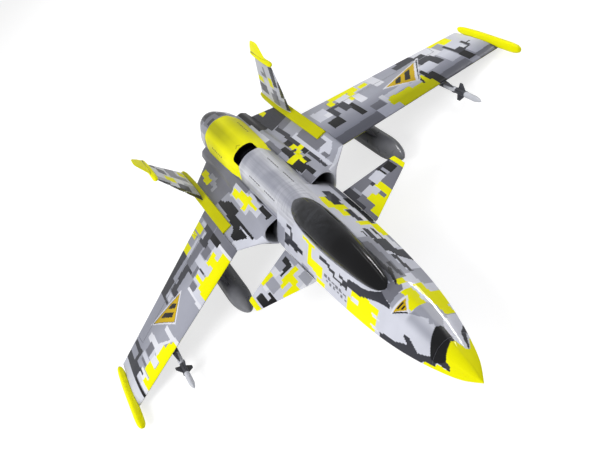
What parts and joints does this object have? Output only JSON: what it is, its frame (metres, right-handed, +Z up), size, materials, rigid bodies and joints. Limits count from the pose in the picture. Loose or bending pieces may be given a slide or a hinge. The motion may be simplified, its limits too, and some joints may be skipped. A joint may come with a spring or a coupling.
{
  "type": "radio controlled jet plane",
  "caption": "Ducted-fan model jet with canards, drooped wings, canted fins, lifting canopy and fan hatch, moving ailerons and canards, wing stores and a flat belly skid",
  "frame": {"origin": "on the centre plane, on the flat underside of the belly skid, 85 mm behind the front corner of the outer wing roots", "axes": "+X to the port wing tip, +Y to the tail, -Y to the nose, +Z up, square to the belly skid"},
  "size_m": [1.0812, 1.143, 0.248],
  "materials": {
    "camo_skin": "satin painted foam with blocky camouflage",
    "fluo_yellow": "satin fluorescent yellow paint",
    "silver_satin": "satin light silver paint",
    "canopy_smoke": "high gloss smoked clear plastic",
    "cockpit_frame": "matt moulded plastic",
    "store_grey": "satin grey moulded plastic",
    "missile_grey": "satin light grey moulded plastic",
    "pylon_dark": "satin dark grey moulded plastic",
    "duct_black": "matt black thin formed plastic",
    "skid_plastic": "matt scuffed plastic",
    "fan_composite": "glass filled nylon",
    "alloy": "machined aluminium",
    "control_horn": "natural nylon",
    "carbon": "pultruded carbon tube",
    "servo_case": "moulded servo case",
    "plywood": "light plywood",
    "battery_wrap": "shrink wrapped lithium polymer pack",
    "strap": "woven hook and loop strap",
    "electronics": "shrink wrapped circuit"
  },
  "bodies": {
    "airframe": {"nose_cone": "camo_skin", "fuselage_front": "camo_skin", "fuselage_rear": "camo_skin", "spine_cover": "silver_satin", "tail_cone": "camo_skin", "exhaust_tube": "duct_black", "belly_skid": "skid_plastic", "wing_root_left": "camo_skin", "wing_root_right": "camo_skin", "inlet_duct_left": "duct_black", "inlet_duct_right": "duct_black", "wing_left": "camo_skin", "wing_right": "camo_skin", "wing_spar_left": "carbon", "wing_spar_right": "carbon", "tail_rail_left": "fluo_yellow", "tail_rail_right": "fluo_yellow", "tip_pod_left": "fluo_yellow", "tip_pod_right": "fluo_yellow", "aileron_servo_left": "servo_case", "aileron_servo_right": "servo_case", "fin_left": "camo_skin", "fin_right": "camo_skin", "fin_pod_left": "fluo_yellow", "fin_pod_right": "fluo_yellow", "drop_tank_left": "store_grey", "drop_tank_right": "store_grey", "tank_pylon_left": "pylon_dark", "tank_pylon_right": "pylon_dark", "missile_left": "missile_grey", "missile_right": "missile_grey", "missile_pylon_left": "pylon_dark", "missile_pylon_right": "pylon_dark", "canard_servo": "servo_case", "fan_housing": "fan_composite", "fan_motor": "alloy", "battery_tray": "plywood", "battery": "battery_wrap", "battery_strap": "strap", "receiver": "electronics", "speed_controller": "electronics"},
    "canopy": {"canopy_glass": "canopy_smoke", "canopy_frame": "cockpit_frame"},
    "hatch": {"fan_hatch": "fluo_yellow"},
    "rotor": {"fan_rotor": "fan_composite", "fan_spinner": "alloy"},
    "canards": {"canard_left": "camo_skin", "canard_right": "camo_skin", "canard_tip_left": "fluo_yellow", "canard_tip_right": "fluo_yellow", "canard_shaft": "alloy"},
    "canard_arm": {"canard_servo_arm": "control_horn"},
    "canard_rod": {"canard_pushrod": "alloy"},
    "aileron_left": {"aileron_left": "camo_skin"},
    "aileron_arm_left": {"servo_arm_left": "control_horn"},
    "aileron_rod_left": {"pushrod_left": "alloy"},
    "aileron_right": {"aileron_right": "camo_skin"},
    "aileron_arm_right": {"servo_arm_right": "control_horn"},
    "aileron_rod_right": {"pushrod_right": "alloy"}
  },
  "joints": [
    {"name": "fan_spin", "type": "hinge", "parent": "airframe", "child": "rotor", "pos_m": [0, 0.165, 0.06], "axis": [0, 1, 0], "continuous": true},
    {"name": "canopy_tilt", "type": "hinge", "parent": "airframe", "child": "canopy", "pos_m": [0, -0.4883, 0.089], "axis": [1, 0, 0], "range_deg": [0, 60]},
    {"name": "hatch_lift", "type": "slide", "parent": "airframe", "child": "hatch", "axis": [0, 0, 1], "range_m": [0, 0.07]},
    {"name": "canard_pitch", "type": "hinge", "parent": "airframe", "child": "canards", "pos_m": [0, -0.256, 0.052], "axis": [1, 0, 0], "range_deg": [-12, 12]},
    {"name": "canard_servo_turn", "type": "hinge", "parent": "airframe", "child": "canard_arm", "pos_m": [0.014, -0.222, 0.052], "axis": [1, 0, 0], "range_deg": [-12, 12]},
    {"name": "canard_rod_turn", "type": "hinge", "parent": "canard_arm", "child": "canard_rod", "pos_m": [0.0165, -0.222, 0.065], "axis": [1, 0, 0], "range_deg": [-12, 12]},
    {"name": "aileron_left_hinge", "type": "hinge", "parent": "airframe", "child": "aileron_left", "pos_m": [0.30611, 0.04743, 0.03516], "axis": [0.961, -0.1464, -0.2344], "range_deg": [-20, 20]},
    {"name": "aileron_left_servo_turn", "type": "hinge", "parent": "airframe", "child": "aileron_arm_left", "pos_m": [0.29677, -0.01386, 0.03516], "axis": [0.961, -0.1464, -0.2344], "range_deg": [-20, 20]},
    {"name": "aileron_left_rod_turn", "type": "hinge", "parent": "aileron_arm_left", "child": "aileron_rod_left", "pos_m": [0.29307, -0.01329, 0.01961], "axis": [0.961, -0.1464, -0.2344], "range_deg": [-20, 20]},
    {"name": "aileron_right_hinge", "type": "hinge", "parent": "airframe", "child": "aileron_right", "pos_m": [-0.30611, 0.04743, 0.03516], "axis": [0.961, 0.1464, 0.2344], "range_deg": [-20, 20]},
    {"name": "aileron_right_servo_turn", "type": "hinge", "parent": "airframe", "child": "aileron_arm_right", "pos_m": [-0.29677, -0.01386, 0.03516], "axis": [0.961, 0.1464, 0.2344], "range_deg": [-20, 20]},
    {"name": "aileron_right_rod_turn", "type": "hinge", "parent": "aileron_arm_right", "child": "aileron_rod_right", "pos_m": [-0.29307, -0.01329, 0.01961], "axis": [0.961, 0.1464, 0.2344], "range_deg": [-20, 20]}
  ],
  "couplings": [
    {"joint": "canard_servo_turn", "follows": "canard_pitch", "ratio": 1},
    {"joint": "canard_rod_turn", "follows": "canard_pitch", "ratio": -1},
    {"joint": "aileron_left_servo_turn", "follows": "aileron_left_hinge", "ratio": 1},
    {"joint": "aileron_left_rod_turn", "follows": "aileron_left_hinge", "ratio": -1},
    {"joint": "aileron_right_servo_turn", "follows": "aileron_right_hinge", "ratio": 1},
    {"joint": "aileron_right_rod_turn", "follows": "aileron_right_hinge", "ratio": -1}
  ]
}
